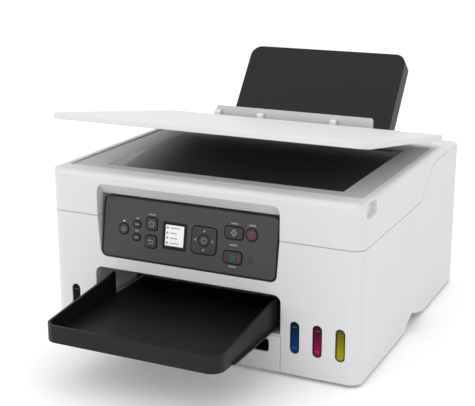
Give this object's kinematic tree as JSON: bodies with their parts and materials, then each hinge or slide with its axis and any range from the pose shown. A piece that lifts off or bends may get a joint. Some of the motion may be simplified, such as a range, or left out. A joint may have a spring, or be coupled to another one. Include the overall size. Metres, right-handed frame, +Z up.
{
  "type": "inkjet printer",
  "caption": "Flatbed inkjet printer with refillable ink tanks, hinged scanner and lid, sloping key panel, pull-out output tray and rear paper support",
  "frame": {"origin": "on the table plane under the middle of the case's footprint", "axes": "+X to the printer's right seen from the front, +Y to its rear, +Z up"},
  "size_m": [0.4, 0.6038, 0.312],
  "materials": {
    "case_white": "fine grain",
    "dark_plastic": "satin",
    "rubber": "matte",
    "panel_grey": "fine grain",
    "screen": "gloss",
    "lamp": "clear",
    "steel": "plain",
    "board": "satin",
    "tray_black": "fine grain",
    "frame_grey": "fine grain",
    "glass": "polished",
    "pad_white": "foam sheet",
    "flap_grey": "fine grain",
    "key_grey": "satin",
    "cap_grey": "satin",
    "ink_black": "clear over ink",
    "ink_cyan": "clear over ink",
    "ink_magenta": "clear over ink",
    "ink_yellow": "clear over ink"
  },
  "bodies": {
    "printer_body": {"main_case": "case_white", "base_tray": "dark_plastic", "rear_panel": "case_white", "rubber_feet": "rubber", "control_panel": "panel_grey", "display": "screen", "panel_lamps": "lamp", "ink_tank_black": "ink_black", "ink_tank_cyan": "ink_cyan", "ink_tank_magenta": "ink_magenta", "ink_tank_yellow": "ink_yellow", "print_frame": "steel", "carriage_motor": "steel", "timing_belt": "rubber", "feed_belt": "rubber", "platen": "dark_plastic", "feed_motor": "steel", "capping_station": "dark_plastic", "maintenance_cartridge": "dark_plastic", "main_board": "board", "power_supply": "steel", "power_inlet": "dark_plastic", "usb_socket": "steel", "rear_tray": "dark_plastic", "case_screws": "steel"},
    "maintenance_cover": {"maintenance_cover": "case_white"},
    "power_button": {"power_button": "key_grey"},
    "upper_key": {"upper_key": "key_grey"},
    "lower_key": {"lower_key": "key_grey"},
    "home_button": {"home_button": "key_grey"},
    "back_button": {"back_button": "key_grey"},
    "black_start_button": {"black_start_button": "key_grey"},
    "colour_start_button": {"colour_start_button": "key_grey"},
    "stop_button": {"stop_button": "key_grey"},
    "direction_pad": {"direction_pad": "key_grey"},
    "ok_button": {"ok_button": "key_grey"},
    "tank_cap_black": {"tank_cap_black": "cap_grey"},
    "tank_cap_cyan": {"tank_cap_cyan": "cap_grey"},
    "tank_cap_magenta": {"tank_cap_magenta": "cap_grey"},
    "tank_cap_yellow": {"tank_cap_yellow": "cap_grey"},
    "carriage": {"carriage": "dark_plastic", "print_heads": "dark_plastic"},
    "drive_pulley": {"drive_pulley": "dark_plastic"},
    "idler_pulley": {"idler_pulley": "dark_plastic"},
    "feed_roller": {"feed_roller": "steel"},
    "eject_roller": {"eject_roller": "rubber"},
    "pickup_roller": {"pickup_roller": "rubber"},
    "output_tray": {"output_tray": "tray_black"},
    "paper_support": {"paper_support": "tray_black"},
    "paper_guide_left": {"paper_guide_left": "dark_plastic"},
    "paper_guide_right": {"paper_guide_right": "dark_plastic"},
    "scanner_unit": {"scanner_case": "case_white", "scanner_top": "frame_grey", "scan_glass": "glass", "flap_clips": "case_white"},
    "scan_sensor": {"scan_sensor": "dark_plastic"},
    "lid_hinges": {"lid_hinges": "case_white"},
    "document_lid": {"document_lid": "case_white", "lid_pad": "pad_white"},
    "feed_slot_flap": {"feed_slot_flap": "flap_grey"}
  },
  "joints": [
    {"name": "scanner_hinge", "type": "hinge", "parent": "printer_body", "child": "scanner_unit", "pos_m": [0, 0.12465, 0.20725], "axis": [1, 0, 0], "range_deg": [-40, 0]},
    {"name": "lid_lift", "type": "slide", "parent": "scanner_unit", "child": "lid_hinges", "axis": [0, 0, 1], "range_m": [-0.009, 0]},
    {"name": "lid_hinge", "type": "hinge", "parent": "lid_hinges", "child": "document_lid", "pos_m": [0, 0.104, 0.2271], "axis": [-1, 0, 0], "range_deg": [-9.4, 75]},
    {"name": "flap_hinge", "type": "hinge", "parent": "scanner_unit", "child": "feed_slot_flap", "pos_m": [0, 0.1165, 0.2175], "axis": [-1, 0, 0], "range_deg": [0, 85]},
    {"name": "support_slide", "type": "slide", "parent": "printer_body", "child": "paper_support", "axis": [0, 0.6018, 0.7986], "range_m": [-0.1, 0]},
    {"name": "left_guide_slide", "type": "slide", "parent": "printer_body", "child": "paper_guide_left", "axis": [1, 0, 0], "range_m": [0, 0.05]},
    {"name": "right_guide_slide", "type": "slide", "parent": "printer_body", "child": "paper_guide_right", "axis": [-1, 0, 0], "range_m": [0, 0.05]},
    {"name": "tray_slide", "type": "slide", "parent": "printer_body", "child": "output_tray", "axis": [0, 1, 0], "range_m": [0, 0.142]},
    {"name": "cover_slide", "type": "slide", "parent": "printer_body", "child": "maintenance_cover", "axis": [0, -1, 0], "range_m": [0, 0.08]},
    {"name": "power_button_press", "type": "slide", "parent": "printer_body", "child": "power_button", "axis": [0, 0.9877, -0.1564], "range_m": [0, 0.0008], "stiffness_N_per_m": 250},
    {"name": "upper_key_press", "type": "slide", "parent": "printer_body", "child": "upper_key", "axis": [0, 0.9877, -0.1564], "range_m": [0, 0.0008], "stiffness_N_per_m": 250},
    {"name": "lower_key_press", "type": "slide", "parent": "printer_body", "child": "lower_key", "axis": [0, 0.9877, -0.1564], "range_m": [0, 0.0008], "stiffness_N_per_m": 250},
    {"name": "home_button_press", "type": "slide", "parent": "printer_body", "child": "home_button", "axis": [0, 0.9877, -0.1564], "range_m": [0, 0.0008], "stiffness_N_per_m": 250},
    {"name": "back_button_press", "type": "slide", "parent": "printer_body", "child": "back_button", "axis": [0, 0.9877, -0.1564], "range_m": [0, 0.0008], "stiffness_N_per_m": 250},
    {"name": "black_start_button_press", "type": "slide", "parent": "printer_body", "child": "black_start_button", "axis": [0, 0.9877, -0.1564], "range_m": [0, 0.0008], "stiffness_N_per_m": 250},
    {"name": "colour_start_button_press", "type": "slide", "parent": "printer_body", "child": "colour_start_button", "axis": [0, 0.9877, -0.1564], "range_m": [0, 0.0008], "stiffness_N_per_m": 250},
    {"name": "stop_button_press", "type": "slide", "parent": "printer_body", "child": "stop_button", "axis": [0, 0.9877, -0.1564], "range_m": [0, 0.0008], "stiffness_N_per_m": 250},
    {"name": "direction_pad_press", "type": "slide", "parent": "printer_body", "child": "direction_pad", "axis": [0, 0.9877, -0.1564], "range_m": [0, 0.0008], "stiffness_N_per_m": 250},
    {"name": "ok_button_press", "type": "slide", "parent": "printer_body", "child": "ok_button", "axis": [0, 0.9877, -0.1564], "range_m": [0, 0.0008], "stiffness_N_per_m": 250},
    {"name": "cap_hinge_black", "type": "hinge", "parent": "printer_body", "child": "tank_cap_black", "pos_m": [-0.169, -0.137, 0.1129], "axis": [-1, 0, 0], "range_deg": [0, 100]},
    {"name": "cap_hinge_cyan", "type": "hinge", "parent": "printer_body", "child": "tank_cap_cyan", "pos_m": [0.1225, -0.137, 0.1129], "axis": [-1, 0, 0], "range_deg": [0, 100]},
    {"name": "cap_hinge_magenta", "type": "hinge", "parent": "printer_body", "child": "tank_cap_magenta", "pos_m": [0.1498, -0.137, 0.1129], "axis": [-1, 0, 0], "range_deg": [0, 100]},
    {"name": "cap_hinge_yellow", "type": "hinge", "parent": "printer_body", "child": "tank_cap_yellow", "pos_m": [0.1771, -0.137, 0.1129], "axis": [-1, 0, 0], "range_deg": [0, 100]},
    {"name": "carriage_slide", "type": "slide", "parent": "printer_body", "child": "carriage", "axis": [-1, 0, 0], "range_m": [0, 0.256]},
    {"name": "drive_spin", "type": "hinge", "parent": "printer_body", "child": "drive_pulley", "pos_m": [0.174, 0.033, 0.1288], "axis": [0, 0, 1], "continuous": true},
    {"name": "idler_spin", "type": "hinge", "parent": "printer_body", "child": "idler_pulley", "pos_m": [-0.174, 0.033, 0.1288], "axis": [0, 0, 1], "continuous": true},
    {"name": "feed_spin", "type": "hinge", "parent": "printer_body", "child": "feed_roller", "pos_m": [0, 0.036, 0.078], "axis": [1, 0, 0], "continuous": true},
    {"name": "eject_spin", "type": "hinge", "parent": "printer_body", "child": "eject_roller", "pos_m": [0, -0.032, 0.076], "axis": [1, 0, 0], "continuous": true},
    {"name": "pickup_spin", "type": "hinge", "parent": "printer_body", "child": "pickup_roller", "pos_m": [-0.017, 0.09103, 0.14603], "axis": [1, 0, 0], "continuous": true},
    {"name": "sensor_slide", "type": "slide", "parent": "scanner_unit", "child": "scan_sensor", "axis": [1, 0, 0], "range_m": [0, 0.31]}
  ],
  "couplings": [
    {"joint": "right_guide_slide", "follows": "left_guide_slide", "ratio": 1},
    {"joint": "drive_spin", "follows": "carriage_slide", "rad_per_m": 148.15},
    {"joint": "idler_spin", "follows": "carriage_slide", "rad_per_m": 148.15},
    {"joint": "eject_spin", "follows": "feed_spin", "ratio": 1}
  ]
}
